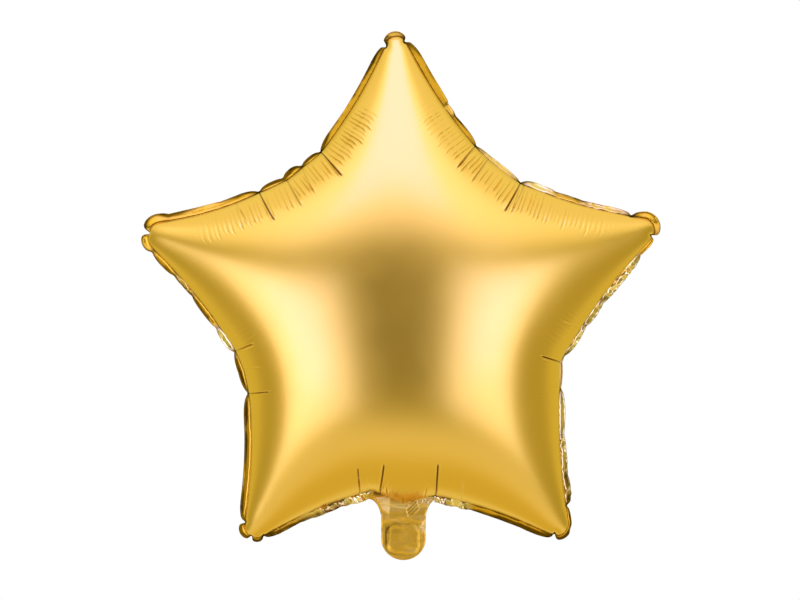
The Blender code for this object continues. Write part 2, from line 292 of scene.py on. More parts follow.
class StarSizes(bpy.types.PropertyGroup):
    """Sizes of the blown-up star."""

    tip_reach: length("Tip reach", 0.2365, "From the star's centre to a tip")
    valley_reach: length("Valley reach", 0.150, "From the star's centre to a valley")
    side_hollow: length("Side hollow", 0.0035, "How far an arm's sides bow in")
    half_depth: length("Half depth", 0.080, "From the seam to the top of one film")
    crease_depth: length("Crease depth", 0.0014, "Depth of a crease at its inner end")
    crease_width: length("Crease width", 0.0005, "Half width of a crease")
    pleat_depth: length("Pleat depth", 0.0011, "Depth of the fine pleats beside the seam")
    pleat_width: length("Pleat width", 0.0006, "Half width of a pleat")
    pleat_end: length("Pleat end", 0.0240, "Distance from the seam where a pleat ends")


class BorderSizes(bpy.types.PropertyGroup):
    """Sizes of the welded border."""

    width: length("Width", 0.0075, "Width of the border before it folds back")
    thickness: length("Thickness", 0.0003, "Thickness of the two welded films")
    crinkle: degrees("Crinkle", 36.0, "How far the border's crinkles turn the foil")
    wave: degrees("Wave", 5.0, "How far the border turns in gentle waves where it isn't pinched")


class TailSizes(bpy.types.PropertyGroup):
    """Sizes of the filling tail and its valve."""

    length: length("Length", 0.0490, "From the bottom valley to the tail's round end")
    width: length("Width", 0.0388, "Width of the tail")
    shift: length("Shift", 0.0013, "How far the tail stands to the right of the star's centre")
    thickness: length("Thickness", 0.0005, "Thickness of the tail")
    flare: length("Flare", 0.0120, "How much further the tail reaches at each side where it leaves the star")
    flare_top: length("Flare top", 0.0045, "How far above the bottom valley the flare begins")
    flare_height: length("Flare height", 0.0185, "Height of the flare")
    end_height: length("End height", 0.0190, "Height of the tail's round end")
    valve_width: length("Valve width", 0.0314, "Width of the valve inside the tail")
    valve_top: length("Valve top", 0.0170, "From the bottom valley to the tie and the valve's top")
    valve_bottom: length("Valve bottom", 0.0450, "From the bottom valley to the valve's bottom")


class FoilFinish(bpy.types.PropertyGroup):
    """Colours and gloss of the foil, with the colours painted on it as light and shade."""

    film_colour: colour("Film colour", (0.92, 0.51, 0.06), "Colour of the satin film")
    border_colour: colour("Border colour", (0.76, 0.38, 0.03), "Colour of the border where it is smooth")
    # The next two colours are painted on: one stands in for light, the other for shade in creases, pinches,
    # rims and grooves
    painted_light_colour: colour("Painted light colour", (0.95, 0.70, 0.33), "Colour of the foil where it is pale")
    painted_shade_colour: colour("Painted shade colour", (0.12, 0.055, 0.0), "Colour of the foil where it is sharply creased")
    tail_colour: colour("Tail colour", (0.90, 0.48, 0.04), "Colour of the filling tail")
    film_roughness: factor("Film roughness", 0.31, "Roughness of the satin film")
    border_roughness: factor("Border roughness", 0.16, "Roughness of the crinkled border")
    tail_roughness: factor("Tail roughness", 0.42, "Roughness of the filling tail")


class StudioLevels(bpy.types.PropertyGroup):
    """Levels of the studio light."""

    side_level: factor("Side boxes", 1.56, "Brightness of the boxes at the sides", 10.0)
    middle_level: factor("Side boxes' middle", 0.25, "Added brightness in the middle of the side boxes", 10.0)
    top_level: factor("Top box", 0.58, "Brightness of the box overhead", 10.0)
    top_middle_level: factor("Top box's middle", 0.15, "Added brightness in the middle of the top box", 10.0)
    front: factor("Front level", 0.19, "Light of the room in front of the object", 2.0)
    side: factor("Side level", 0.48, "Light of the room beside the object", 2.0)
    back: factor("Back level", 0.75, "Light of the room behind the object", 2.0)
    above: factor("Upper level", 1.05, "Light of the room from above", 2.0)
    floor: factor("Floor level", 0.97, "Light of the floor beside the object", 2.0)
    below: factor("Lower level", 0.72, "Light of the floor straight below the object", 2.0)


class BalloonSettings(bpy.types.PropertyGroup):
    """All the settings of the balloon and its studio."""

    star: bpy.props.PointerProperty(type=StarSizes)
    border: bpy.props.PointerProperty(type=BorderSizes)
    tail: bpy.props.PointerProperty(type=TailSizes)
    finish: bpy.props.PointerProperty(type=FoilFinish)
    studio: bpy.props.PointerProperty(type=StudioLevels)


def settings():
    return bpy.context.scene.star_foil_balloon


def polar(bearing, reach):
    """The point at a bearing and a distance from the star's centre, as X and Z."""
    angle = math.radians(bearing)
    return np.array([reach * math.sin(angle), reach * math.cos(angle)])


def fade(value):
    """A smooth step from 0 to 1 while the value goes from 0 to 1."""
    value = np.clip(value, 0.0, 1.0)
    return value * value * (3 - 2 * value)


def side(arm, turn):
    """The film's edge from a valley's middle to an arm's tip: turn is 1 on the way up to it, -1 past it."""
    star = settings().star
    bearing, reach, radius = TIPS[arm]
    knees = VALLEYS[arm - 1] if turn == 1 else VALLEYS[arm]
    knee = polar(knees[1 + turn][0], knees[1 + turn][1] * star.valley_reach)
    middle = polar(knees[1][0], knees[1][1] * star.valley_reach)
    centre = polar(bearing, star.tip_reach * reach - radius)
    outward = polar(bearing - 90 * turn, 1.0)
    back = knee - centre
    far = np.linalg.norm(back)
    cosine = radius / far
    to_knee = back / far
    across = outward - to_knee * float(outward @ to_knee)
    across /= np.linalg.norm(across)
    shoulder = centre + radius * (cosine * to_knee + math.sqrt(1 - cosine**2) * across)

    points = [middle + (knee - middle) * i / KNEE_COLUMNS for i in range(KNEE_COLUMNS)]
    for i in range(SIDE_COLUMNS):
        along = (i / SIDE_COLUMNS) ** COLUMN_POWER
        hollow = star.side_hollow * math.sin(math.pi * along)
        points.append(knee + (shoulder - knee) * along - across * hollow)
    start = math.atan2(*(shoulder - centre))
    sweep = (math.radians(bearing) - start + math.pi) % (2 * math.pi) - math.pi
    for i in range(TIP_COLUMNS + 1):
        points.append(centre + polar(math.degrees(start + sweep * i / TIP_COLUMNS), radius))
    return np.array(points)


def waves(places, total, step, seed):
    """Smooth random waves round the seam, from -1 to 1, that come about one step apart."""
    count = max(4, round(total / step))
    values = np.random.default_rng(seed).uniform(-1, 1, count)
    at = np.asarray(places) / total * count
    low = np.floor(at).astype(int)
    part = fade(at - low)
    return values[low % count] * (1 - part) + values[(low + 1) % count] * part


class Seam:
    """The films' welded seam: for each column its place, and how the foil is gathered there."""

    def __init__(self, seed):
        parts = []
        for arm in range(len(TIPS)):
            parts += [side(arm, 1)[:-1], side(arm, -1)[:0:-1]]
        self.seed = seed
        smooth = np.concatenate(parts)
        travel = np.roll(smooth, -1, axis=0) - np.roll(smooth, 1, axis=0)
        normal = np.stack([-travel[:, 1], travel[:, 0]], axis=1)
        self.outward = normal / np.linalg.norm(normal, axis=1, keepdims=True)
        self.bearings = np.unwrap(np.degrees(np.arctan2(smooth[:, 0], smooth[:, 1])), period=360)
        self.measure(smooth)
        dent = np.zeros(ROUND)
        for bearing, depth, half in NOTCHES:
            off = (self.places - self.place_of(bearing) + self.total / 2) % self.total - self.total / 2
            dent += depth * np.exp(-((off / half) ** 2))
        self.measure(smooth - self.outward * dent[:, None])
        self.rise = SEAM_RISE * waves(self.places, self.total, SEAM_WAVE, 5)
        self.root = self.points[2 * (TAIL_VALLEY + 1) * COLUMNS]

    def measure(self, points):
        """Take the points as the seam's, with the length of each step and the place of each point."""
        self.points = points
        self.steps = np.linalg.norm(np.roll(points, -1, axis=0) - points, axis=1)
        self.total = self.steps.sum()
        self.places = np.concatenate([[0.0], np.cumsum(self.steps)[:-1]])

    def place_of(self, bearing):
        """How far along the seam a bearing lies."""
        turned = (bearing - self.bearings[0]) % 360 + self.bearings[0]
        return float(np.interp(turned, self.bearings, self.places))

    def between(self, values, place):
        """A column value, or a row of them, at places between the columns."""
        values = np.asarray(values)
        if values.ndim == 1:
            return np.interp(place, self.places, values, period=self.total)
        lines = [np.interp(place, self.places, line, period=self.total) for line in values.T]
        return np.stack(lines, axis=-1)

    def by_bearing(self, table, place):
        """A table's share for each bearing, at places along the seam."""
        bearing, shares = zip(*table)
        return self.between(np.interp(self.bearings, bearing, shares, period=360), place)

    def beside(self, points):
        """Each point's place along the seam, where its nearest seam point is, and its distance from there."""
        coarse = self.points[::SEARCH_STEP]
        near = np.concatenate(
            [
                np.linalg.norm(part[:, None] - coarse, axis=2).argmin(axis=1)
                for part in np.array_split(points, SEARCH_PARTS)
            ]
        )
        column = (near[:, None] * SEARCH_STEP + np.arange(-SEARCH_STEP, SEARCH_STEP)) % ROUND
        start = self.points[column]
        run = self.points[(column + 1) % ROUND] - start
        offset = points[:, None] - start
        part = np.clip((offset * run).sum(axis=2) / (run**2).sum(axis=2), 0, 1)
        far = np.linalg.norm(offset - part[..., None] * run, axis=2)
        best = (np.arange(len(points)), far.argmin(axis=1))
        return self.places[column[best]] + part[best] * self.steps[column[best]], far[best]

    def pleats(self, place, inside):
        """How far the pleats press the film in at points beside the seam, and how much shade is painted along
        them.
        """
        star = settings().star
        draws = np.random.default_rng(self.seed)
        knots = [0.0]
        while knots[-1] < self.total:
            knots.append(knots[-1] + draws.uniform(*PLEAT_SPACES))
        knots = np.array(knots) * self.total / knots[-1]
        count = len(knots)
        end = star.pleat_end * draws.uniform(0.78, 1.05, count)
        start = end * draws.uniform(0.05, 0.3, count)
        depth = star.pleat_depth * draws.uniform(0.35, 1.0, count)
        phase = np.interp(place, knots, np.arange(count))
        knot = np.round(phase).astype(int)
        off = (place - np.interp(knot, np.arange(count), knots)) / star.pleat_width
        near = knot % (count - 1)
        groove = np.exp(-(off**2)) - 0.25 * np.exp(-(((np.abs(off) - 2.2) / 1.1) ** 2))
        growth = 0.75 * fade((inside - start[near]) / 0.005)
        growth += 0.25 * np.clip((inside - start[near]) / (end[near] - start[near]), 0, 1)
        stop = 1 - fade((inside - end[near]) / 0.0022)
        strength = self.by_bearing(PLEATS, place)
        pressed = depth[near] * strength * stop * groove
        # The second value is shade painted along each pleat's groove
        return growth * pressed, growth**0.3 * np.clip(pressed, 0, None) / star.pleat_depth

    def crease_dips(self, points):
        """How far the creases press the film in at points of the flat film, and how much shade is painted
        along them.
        """
        star = settings().star
        dips, painted_shade = np.zeros(len(points)), np.zeros(len(points))
        for bearing, end_bearing, end_reach, strength in CREASES:
            start = self.between(self.points, self.place_of(bearing))
            run = polar(end_bearing, end_reach) - start
            reach = np.linalg.norm(run)
            offset = points - start
            along = offset @ run / reach**2
            off = (offset[:, 0] * run[1] - offset[:, 1] * run[0]) / reach
            q = off / star.crease_width
            near = (np.abs(q) < 8) & (along > -0.2) & (along < 1.2)
            q, along = q[near], along[near]
            profile = np.exp(-(q**2)) - 0.22 * np.exp(-(((np.abs(q) - 2.6) / 1.4) ** 2))
            grown = strength * fade(1 + along * 8) * (1 - fade((along - 0.92) / 0.12))
            dips[near] += star.crease_depth * grown * (0.5 + 0.5 * fade(along * 1.4)) * profile
            # Shade is painted along each crease's line
            painted_shade[near] = np.maximum(painted_shade[near], math.sqrt(strength) * grown * np.exp(-(q**2) / 1.4))
        return dips, painted_shade


def patch(arm, seam):
    """The film's points between the centre, a valley, a tip and the next valley."""
    first = 2 * arm * COLUMNS
    up = seam.points[np.arange(first, first + COLUMNS + 1) % ROUND]
    down = seam.points[np.arange(first + 2 * COLUMNS, first + COLUMNS - 1, -1) % ROUND]
    tip = up[-1]
    drawn = 1 - (1 - np.arange(COLUMNS + 1) / COLUMNS) ** ROW_POWER
    a, b = np.meshgrid(drawn, drawn, indexing="ij")
    a, b = a[..., None], b[..., None]
    ruled = down[0] * b * (1 - a) + up[None] * a + up[0] * a * (1 - b) + down[:, None] * b
    points = ruled - (up[0] * a * (1 - b) + down[0] * (1 - a) * b + tip * a * b)
    # The cells bunch up where the tip's round end turns, so they are evened out there
    number = np.arange(1, COLUMNS)
    near_tip = fade((np.minimum(number[:, None], number) - COLUMNS + TIP_BLOCK) / (TIP_BLOCK / 2))[..., None]
    for _ in range(TIP_SMOOTHING):
        around = points[2:, 1:-1] + points[:-2, 1:-1] + points[1:-1, 2:] + points[1:-1, :-2]
        points[1:-1, 1:-1] += near_tip * (around / 4 - points[1:-1, 1:-1])
    return points


def flat_film(seam, cuts):
    """One flat star film: a grid for each arm, cut finer along the seam, welded along the lines between them.
    Beside the mesh it gives the points, and each point's arm, row and column."""
    film = bmesh.new()
    layers = [film.verts.layers.float.new(name) for name in GRID_PLACE]
    fine = COLUMNS - GATHER_ROWS
    for arm in range(len(TIPS)):
        points = patch(arm, seam)
        made = bmesh.ops.create_grid(film, x_segments=COLUMNS, y_segments=COLUMNS, size=0.5)
        spots = {}
        for vert in made["verts"]:
            spots[vert] = round((vert.co.x + 0.5) * COLUMNS), round((vert.co.y + 0.5) * COLUMNS)
            x, z = points[spots[vert]]
            vert.co = (x, 0.0, z)
            for layer, value in zip(layers, (arm, *spots[vert])):
                vert[layer] = value
        if cuts:
            along_seam = []
            for edge in {edge for vert in made["verts"] for edge in vert.link_edges}:
                (row, column), (other_row, other_column) = (spots[vert] for vert in edge.verts)
                if row == other_row >= fine >= max(column, other_column):
                    along_seam.append(edge)
                elif column == other_column >= fine >= max(row, other_row):
                    along_seam.append(edge)
            bmesh.ops.subdivide_edges(film, edges=along_seam, cuts=cuts, use_grid_fill=True)
    bmesh.ops.remove_doubles(film, verts=film.verts, dist=WELD_DISTANCE)
    for face in film.faces:
        face.smooth = True
    mesh = bpy.data.meshes.new("flat_film")
    film.to_mesh(mesh)
    film.free()
    places = np.empty((len(layers), len(mesh.vertices)))
    for name, line in zip(GRID_PLACE, places):
        mesh.attributes[name].data.foreach_get("value", line)
        mesh.attributes.remove(mesh.attributes[name])
    return mesh, vertex_array(mesh, "co")[:, [0, 2]], places


def between_lines(values, part):
    """A smooth curve through four neighbouring lines of values."""
    before, start, end, after = values
    cubic = part * (3 * (start - end) + after - before)
    square = part * (2 * before - 5 * start + 4 * end - after + cubic)
    return start + 0.5 * part * (end - before + square)


def grid_values(grid, arm, row, column):
    """Each arm's grid of values, read smoothly at rows and columns between its own."""
    wide = np.pad(grid, ((0, 0), (1, 1), (1, 1)), mode="reflect", reflect_type="odd")
    arm = np.round(arm).astype(int)
    low_row = np.minimum(np.floor(row + 1e-4), COLUMNS - 1).astype(int)
    low_column = np.minimum(np.floor(column + 1e-4), COLUMNS - 1).astype(int)
    lines = []
    for across in range(4):
        line = [wide[arm, low_row + down, low_column + across] for down in range(4)]
        lines.append(between_lines(line, row - low_row))
    return between_lines(lines, column - low_column)


def bulge(mesh, points):
    """The height of a stretched membrane over the flat film, as a share of its highest."""
    count = len(points)
    mesh.calc_loop_triangles()
    corners = np.empty(3 * len(mesh.loop_triangles), dtype=np.int64)
    mesh.loop_triangles.foreach_get("vertices", corners)
    corners = corners.reshape(-1, 3)
    p = points[corners]
    opposite = np.stack([p[:, 2] - p[:, 1], p[:, 0] - p[:, 2], p[:, 1] - p[:, 0]], axis=1)
    area = np.abs(opposite[:, 0, 0] * opposite[:, 1, 1] - opposite[:, 0, 1] * opposite[:, 1, 0]) / 2
    values = np.einsum("nik,njk->nij", opposite, opposite) / (4 * area[:, None, None])
    keys = (corners[:, :, None] * count + corners[:, None, :]).ravel()
    keys, where = np.unique(keys, return_inverse=True)
    values = np.bincount(where.ravel(), values.ravel())
    rows, cols = keys // count, keys % count
    load = np.bincount(corners.ravel(), np.repeat(area / 3, 3), minlength=count)
    edges = np.empty(2 * len(mesh.edges), dtype=np.int64)
    mesh.edges.foreach_get("vertices", edges)
    loops = np.empty(len(mesh.loops), dtype=np.int64)
    mesh.loops.foreach_get("edge_index", loops)
    rim = np.unique(edges.reshape(-1, 2)[np.bincount(loops, minlength=len(mesh.edges)) == 1])
    free = np.ones(count)
    free[rim] = 0.0
    diagonal = np.bincount(rows[rows == cols], values[rows == cols], minlength=count)
    height = np.zeros(count)
    residual = load * free
    ready = residual / diagonal
    search = ready.copy()
    size = float(residual @ ready)
    goal = size * SOLVED
    while size > goal:
        pull = np.bincount(rows, values * search[cols], minlength=count) * free
        step = size / float(search @ pull)
        height += step * search
        residual -= step * pull
        ready = residual / diagonal
        size, last = float(residual @ ready), size
        search = ready + search * (size / last)
    return np.clip(height, 0, None) / height.max()


@functools.lru_cache(maxsize=1)
def flat_points(sizes):
    """The flat film's mesh, its points, their share of the depth, and their places along the seam and
    distances from it. They are kept for both films while the sizes stay as they are."""
    seam = Seam(0)
    coarse_mesh, coarse, spots = flat_film(seam, 0)
    arm, row, column = np.round(spots).astype(int)
    height = bulge(coarse_mesh, coarse)
    grid = np.full((len(TIPS), COLUMNS + 1, COLUMNS + 1), np.nan)
    grid[arm, row, column] = height
    # The line after each arm is welded to the next arm's first line, and the film keeps only one of the two
    for number in range(len(TIPS)):
        after = (number + 1) % len(TIPS)
        ahead, behind = grid[number, 0, :], grid[after, :, 0]
        shared = np.where(np.isnan(ahead), behind, ahead)
        grid[number, 0, :] = grid[after, :, 0] = shared
    grid[:, 0, 0] = np.nanmax(grid[:, 0, 0])
    grid[:, COLUMNS, :] = grid[:, :, COLUMNS] = 0.0
    mesh, flat, spots = flat_film(seam, GATHER_CUTS)
    rise = np.sqrt(np.clip(grid_values(grid, *spots), 0, None))
    place, inside = seam.beside(flat)
    return mesh, flat, rise, place, inside


def vertex_array(mesh, name):
    values = np.empty(3 * len(mesh.vertices))
    mesh.vertices.foreach_get(name, values)
    return values.reshape(-1, 3)


def film_piece(name, way, seed, material):
    """One blown-up film: way is -1 for the front and 1 for the back."""
    seam = Seam(seed)
    star = settings().star
    sizes = (star.tip_reach, star.valley_reach, star.side_hollow)
    flat_mesh, flat, rise, place, inside = flat_points(sizes)
    mesh = flat_mesh.copy()
    mesh.name = name
    places = np.stack([flat[:, 0], way * star.half_depth * rise, flat[:, 1]], axis=1)
    mesh.vertices.foreach_set("co", places.ravel())
    mesh.update()
    if (vertex_array(mesh, "normal")[:, 1] * way).mean() < 0:
        mesh.flip_normals()
        mesh.update()
    normals = vertex_array(mesh, "normal")
    pleat_dips, pleat_shade = seam.pleats(place, inside)
    crease_dips, crease_shade = seam.crease_dips(flat)
    dips = (pleat_dips + crease_dips) * fade(inside / PRESS_START)
    places -= normals * dips[:, None]
    places[:, 1] += seam.between(seam.rise, place) * (1 - fade(inside / SEAM_FADE))
    places += offset(seam)
    mesh.vertices.foreach_set("co", places.ravel())
    # A painted reflection: the film is painted paler just above the bottom valley, where it reflects the tail
    painted_tail_reflection = np.exp(-(((flat - seam.root - PAINTED_TAIL_REFLECTION_RISE) / PAINTED_TAIL_REFLECTION) ** 2).sum(axis=1))
    # Painted light: the film's edge beside the seam is painted paler where the border's rim gets no painted
    # shade
    edge = (1 - seam.by_bearing(PAINTED_RIM_SHADE, place)) * (1 - fade(inside / EDGE_PAINTED_LIGHT))
    marks = {
        "painted_light": np.maximum(painted_tail_reflection, edge),
        # Painted shade along the pleats and creases
        "painted_shade": np.clip(PAINTED_PLEAT_SHADE * pleat_shade + PAINTED_CREASE_SHADE * crease_shade, 0, 1),
    }
    for kind, values in marks.items():
        mesh.attributes.new(kind, "FLOAT", "POINT").data.foreach_set("value", values)
    mesh.update()
    return finished(mesh, name, material)


def offset(seam):
    """From the star's centre, round which the seam is drawn, to the frame's origin at the ribbon's tie."""
    tail = settings().tail
    return np.array([-tail.shift, 0.0, tail.valve_top - seam.root[1]])


def finished(mesh, name, material):
    piece = bpy.data.objects.new(name, mesh)
    bpy.context.scene.collection.objects.link(piece)
    mesh.materials.append(material)
    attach(piece, BODY)
    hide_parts(NODE)
    return piece


def smoothed(values, half):
    """Each of the values round the seam, as the mean of it and its neighbours."""
    near = np.arange(-half, half + 1)
    return values[(np.arange(len(values))[:, None] + near) % len(values)].mean(axis=1)


def folded(seam, places):
    """At places along the seam: the border's width, fold angle, crinkling, painted light, and shade painted
    where it is pinched.
    """
    border = settings().border
    starts = np.array([seam.place_of(fold[0]) for fold in FOLDS])
    order = np.argsort(starts)
    starts = starts[order]
    table = np.array([FOLDS[number][1:] for number in order])
    number = (np.searchsorted(starts, places, side="right") - 1) % len(starts)
    after = (number + 1) % len(starts)
    stretch = (starts[after] - starts[number]) % seam.total
    past = (places - starts[number]) % seam.total
    ramp = np.minimum(0.5 * stretch, PINCH_RAMP)
    opening = np.ones(len(places))
    for pinch, distance in ((table[number, 0], past), (table[after, 0], stretch - past)):
        opening *= 1 - pinch * (1 - np.sin(math.pi / 2 * np.clip(distance / ramp, 0, 1)) ** 0.7)
    width = border.width * table[number, 1] * (PINCHED_WIDTH + (1 - PINCHED_WIDTH) * opening)
    fold = np.radians(table[number, 2]) * opening
    # The last two are painted light from the table and painted shade that grows as the border is pinched
    marks = width, fold, table[number, 3] * opening, table[number, 4], 1 - opening
    return [smoothed(values, half) for values, half in zip(marks, FOLD_SMOOTHING)]


def sheet_from(name, columns, rows, place, marks, closed, thickness, material):
    """A thin sheet: a grid with its points and its painted light and shade, welded end to end if closed."""
    sheet = bmesh.new()
    layers = [sheet.verts.layers.float.new(kind) for kind in ("painted_light", "painted_shade")]
    made = bmesh.ops.create_grid(sheet, x_segments=columns, y_segments=rows, size=0.5)
    for vert in made["verts"]:
        column, row = round((vert.co.x + 0.5) * columns), round((vert.co.y + 0.5) * rows)
        vert.co = place(column, row)
        for layer, value in zip(layers, marks(column, row)):
            vert[layer] = value
    if closed:
        bmesh.ops.remove_doubles(sheet, verts=sheet.verts, dist=WELD_DISTANCE)
    bmesh.ops.recalc_face_normals(sheet, faces=sheet.faces)
    bmesh.ops.solidify(sheet, geom=sheet.faces[:], thickness=thickness)
    bmesh.ops.recalc_face_normals(sheet, faces=sheet.faces)
    for face in sheet.faces:
        face.smooth = True
    mesh = bpy.data.meshes.new(name)
    sheet.to_mesh(mesh)
    sheet.free()
    return finished(mesh, name, material)


def border_piece(name, material):
    """The crinkled border round the star."""
    seam = Seam(1)
    border = settings().border
    places = np.arange(BORDER_COLUMNS) * seam.total / BORDER_COLUMNS
    # The border's colour takes painted light on its crinkled stretches and painted shade where it is pinched
    width, fold, crinkle, painted_light, painted_shade = folded(seam, places)
    points, outward = seam.between(seam.points, places), seam.between(seam.outward, places)
    outward /= np.linalg.norm(outward, axis=1, keepdims=True)
    step = width / BORDER_ROWS
    crinkle = crinkle * border.crinkle
    gentle = border.wave * waves(places, seam.total, GENTLE_STEP, 14)
    out, back = np.zeros(BORDER_COLUMNS), seam.between(seam.rise, places)
    lines = []
    shift = offset(seam)
    for row in range(-1, BORDER_ROWS + 1):
        if row == -1:
            spots = points - outward * BORDER_LAP
        else:
            across = row / BORDER_ROWS
            spots = points + outward * out[:, None]
            crumpled = waves(places + 0.004 * across, seam.total, CRINKLE_STEPS[0], 11)
            crumpled += 0.7 * waves(places - 0.005 * across, seam.total, CRINKLE_STEPS[1], 12 + row // 4)
            smooth_angle = fold * (math.sin(math.pi * across**0.8) ** 0.8 - 0.25 * across**6)
            angle = smooth_angle + gentle * (1 - painted_shade) + crinkle * crumpled
            out = out + step * np.cos(smooth_angle) * (1 - 0.25 * crinkle * np.abs(crumpled))
        lines.append(np.stack([spots[:, 0], back, spots[:, 1]], axis=1) + shift)
        if row >= 0:
            back = back + step * np.sin(angle)
    lines = np.array(lines)
    rows = np.linspace(0, 1, BORDER_ROWS + 2)[:, None]
    # Painted shade: the outer rim is painted darker by bearing, with gentle changes along it
    rim_shade = seam.by_bearing(PAINTED_RIM_SHADE, places) * (1 + 0.3 * waves(places, seam.total, RIM_STEP, 31))
    rim_shade = np.clip(rim_shade, 0, 1)
    rim = np.clip((rows - 1.0 + 0.75 * rim_shade) / 0.25, 0, 1) * (1 - 0.6 * painted_light)
    # Painted dark specks in the crinkles, standing in for dark reflections
    shade_specks = np.clip(waves(places + 0.004 * rows, seam.total, SHADE_SPECK_STEP, 33) - 0.4, 0, 1)
    shade_specks *= 2 * np.clip(crinkle, 0, 0.5)
    # All painted shade: pinches, the outer rim and the specks
    painted_shade = np.clip(1.5 * painted_shade + np.clip(1.5 * rim_shade, 0.3, 1) * rim + shade_specks, 0, 1)

    def place(column, row):
        return lines[row, column % BORDER_COLUMNS]

    def marks(column, row):
        return painted_light[column % BORDER_COLUMNS], painted_shade[row, column % BORDER_COLUMNS]

    return sheet_from(name, BORDER_COLUMNS, BORDER_ROWS + 1, place, marks, True, border.thickness, material)


def inside_plate(corners, u, v):
    """How far points lie inside a plate with straight edges, whose corners go clockwise."""
    depths = []
    for (x0, y0), (x1, y1) in zip(corners, corners[1:] + corners[:1]):
        run = math.hypot(x1 - x0, y1 - y0)
        depths.append(((x1 - x0) * (v - y0) - (y1 - y0) * (u - x0)) / run)
    return np.min(depths, axis=0)


def ripples(u, v, size, seed):
    """Smooth random heights from about -1 to 1 at points of the tail."""
    return np.array([noise.noise(Vector((x / size, y / size, seed))) for x, y in zip(u, v)])


def tail_relief(u, v):
    """How far the tail's front stands forward, and how much light and shade is painted on it, u to the right
    of its middle and v below the bottom valley."""
    tail = settings().tail
    middle = (tail.valve_top + tail.valve_bottom) / 2
    far_u = np.abs(u) - tail.valve_width / 2 + VALVE_CORNER
    far_v = np.abs(v - middle) - (tail.valve_bottom - tail.valve_top) / 2 + VALVE_CORNER
    outside = np.hypot(np.clip(far_u, 0, None), np.clip(far_v, 0, None)) - VALVE_CORNER
    outside += np.minimum(np.maximum(far_u, far_v), 0)
    outside += 0.0006 * ripples(u, v, 0.0060, 5.0)
    relief = 0.0006 * fade(-outside / 0.0050) - 0.00010 * np.exp(-(((outside + 0.0004) / 0.0013) ** 2))
    # Painted shade in the groove round the valve, fading out to the right, and down the valve's left side
    valve_groove_shade = np.exp(-(((outside + 0.0006) / 0.0009) ** 2)) * fade(0.6 - u / 0.03)
    valve_side_shade = fade(1.7 - np.abs(u + 0.0140) / 0.0016) * fade(1.9 - np.abs(v - 0.0270) / 0.0060)

    facet = fade(inside_plate(FACET, u, v) / 0.0006)
    relief += facet * (0.0012 - 0.16 * (u + 0.018) + 0.02 * (v - 0.001))
    # Painted shadow under the folded facet
    facet_shadow = fade(1 - (v + 0.0085) / 0.0030) * fade((u + 0.0270) / 0.002) * fade((-0.0085 - u) / 0.002)
    ribbed = fade(inside_plate(RIBBED, u, v) / 0.0005)
    ribs = np.sin((u + v) / math.sqrt(2) * 2 * math.pi / RIB_SPACE)
    relief += ribbed * (0.0005 + 0.00016 * ribs)
    weld_line = np.exp(-(((v - 0.0030 + 25 * u**2) / 0.0005) ** 2)) * fade((0.0095 - np.abs(u)) / 0.002)
    relief += 0.00035 * weld_line
    crumpled = sum(fade(reach - np.hypot(u - x, v - y) / size) for x, y, reach, size in CRUMPLES)
    wrinkled = 0.0006 * ripples(0.6 * u, 1.3 * v, 0.0080, 1.0)
    wrinkled += 0.00010 * ripples(0.6 * u, 1.8 * v, 0.0034, 2.0)
    relief += wrinkled * (1 - 0.6 * facet) + 0.0007 * crumpled * ripples(u, v, 0.0024, 3.0)

    # Painted light on the facet, the crumpled spots, the weld line and a band at the neck, with random paler
    # blotches
    neck_light = np.exp(-(((v - 0.0030) / 0.0070) ** 2)) * fade((0.0180 - np.abs(u)) / 0.006)
    painted_light = 0.3 * facet + 0.5 * crumpled + 0.5 * weld_line + 0.3 * neck_light
    painted_light = np.clip(painted_light + 0.25 * ripples(0.6 * u, 1.6 * v, 0.0080, 7.0), 0, 1)
    # Painted shade under the facet, down the valve's left side, between the ribs and in the valve's groove,
    # with random darker blotches
    painted_shade = 0.9 * facet_shadow + 0.7 * valve_side_shade + 0.7 * ribbed * (0.5 - 0.5 * ribs) + 0.45 * valve_groove_shade
    painted_shade += 0.3 * np.clip(ripples(0.5 * u, 1.6 * v, 0.0060, 6.0), 0, 1)
    return relief, painted_light, np.clip(0.8 * painted_shade, 0, 1)


def tail_piece(name, material):
    """The flat filling tail, with its round end."""
    seam = Seam(1)
    tail = settings().tail
    shift = offset(seam)
    half = tail.width / 2
    v = TAIL_TOP + (tail.length - TAIL_TOP) * np.sin(math.pi / 2 * np.linspace(0, 1, TAIL_ROWS + 1))
    flared = np.clip((v + tail.flare_top) / tail.flare_height, 0, 1)
    wide = half + tail.flare * (1 - np.sqrt(1 - (1 - flared) ** 2))
    end = np.clip((v - tail.length + tail.end_height) / tail.end_height, 0, 1)
    wide = np.maximum(wide * np.sqrt(1 - end**2), 0.00002)
    share_across = np.sin(math.pi / 2 * np.linspace(-1, 1, TAIL_COLUMNS + 1))
    u = share_across[:, None] * wide[None, :]
    v = np.broadcast_to(v, u.shape)
    relief, painted_light, painted_shade = (values.reshape(u.shape) for values in tail_relief(u.ravel(), v.ravel()))
    relief *= fade((wide[None, :] - np.abs(u)) / 0.0015) * fade((v - TAIL_TOP) / 0.004)
    bend = 0.0012 * np.sin(math.pi * np.clip(v / tail.valve_top, 0, 1))

    def place(column, row):
        forward = relief[column, row] - bend[column, row]
        spot = Vector((tail.shift + u[column, row], -forward, seam.root[1] - v[column, row]))
        return spot + Vector(shift)

    def marks(column, row):
        return painted_light[column, row], painted_shade[column, row]

    return sheet_from(name, TAIL_COLUMNS, TAIL_ROWS, place, marks, False, tail.thickness, material)


def nodes_of(name):
    """A new node material, and its tree and shader."""
    material = bpy.data.materials.new(name)
    material.use_nodes = True
    return material, material.node_tree, material.node_tree.nodes["Principled BSDF"]


def add_node(tree, kind, **values):
    node = tree.nodes.new(kind)
    for key, value in values.items():
        if key in node.inputs:
            node.inputs[key].default_value = value
        else:
            setattr(node, key, value)
    return node


